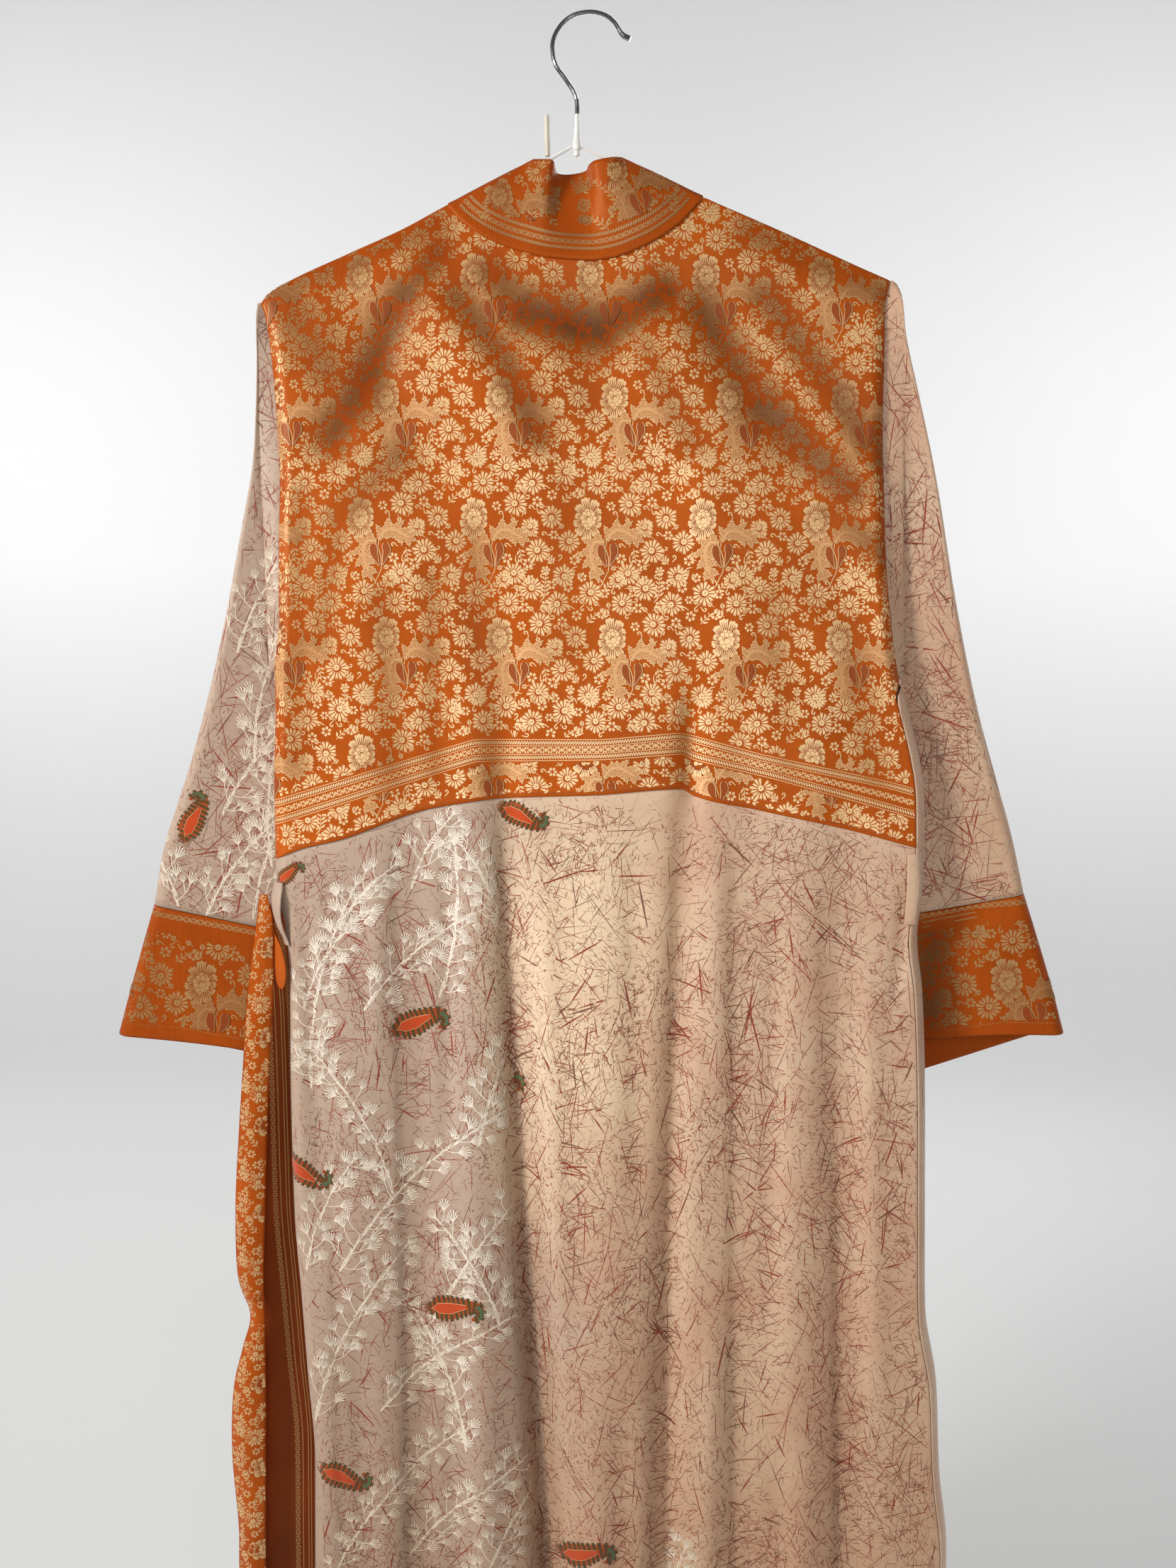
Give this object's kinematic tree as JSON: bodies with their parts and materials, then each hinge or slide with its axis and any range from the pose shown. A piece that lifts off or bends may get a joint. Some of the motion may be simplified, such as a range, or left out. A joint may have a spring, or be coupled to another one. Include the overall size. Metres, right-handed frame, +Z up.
{
  "type": "kimono robe on wire hanger",
  "caption": "Knee-length kimono robe hanging flat on a coated wire hanger, seen from the back: patterned yoke, plain-cut body, wide cuffs, open front and a loose belt.",
  "frame": {"origin": "inside top of the hanger's hook, where it rests on a rail", "axes": "+Z up along the hang, +X to the right of a viewer who sees the robe's back, -Y out of the robe's back"},
  "size_m": [0.7212, 0.0767, 1.303],
  "materials": {
    "orange_brocade": "satin",
    "deep_orange_brocade": "satin",
    "plain_orange_satin": "satin",
    "printed_silk": "satin",
    "chrome_wire": "polished",
    "white_coating": "gloss",
    "old_white_plastic": "matte"
  },
  "bodies": {
    "root": {"back_yoke": "orange_brocade", "neck_band": "orange_brocade", "back_body": "printed_silk", "front_left": "printed_silk", "front_right": "printed_silk", "front_band_left": "orange_brocade", "front_band_right": "orange_brocade", "sleeve_left": "printed_silk", "sleeve_right": "printed_silk", "cuff_left": "orange_brocade", "cuff_right": "orange_brocade", "belt_outer_end": "orange_brocade", "belt_turn": "plain_orange_satin", "belt_inner_end": "deep_orange_brocade", "belt_loop_left": "printed_silk", "belt_loop_right": "printed_silk", "hanger_hook": "chrome_wire", "hanger_neck": "white_coating", "hanger_arm_left": "white_coating", "hanger_arm_right": "white_coating", "hanger_bar": "white_coating", "hanger_prong": "old_white_plastic"}
  },
  "joints": []
}
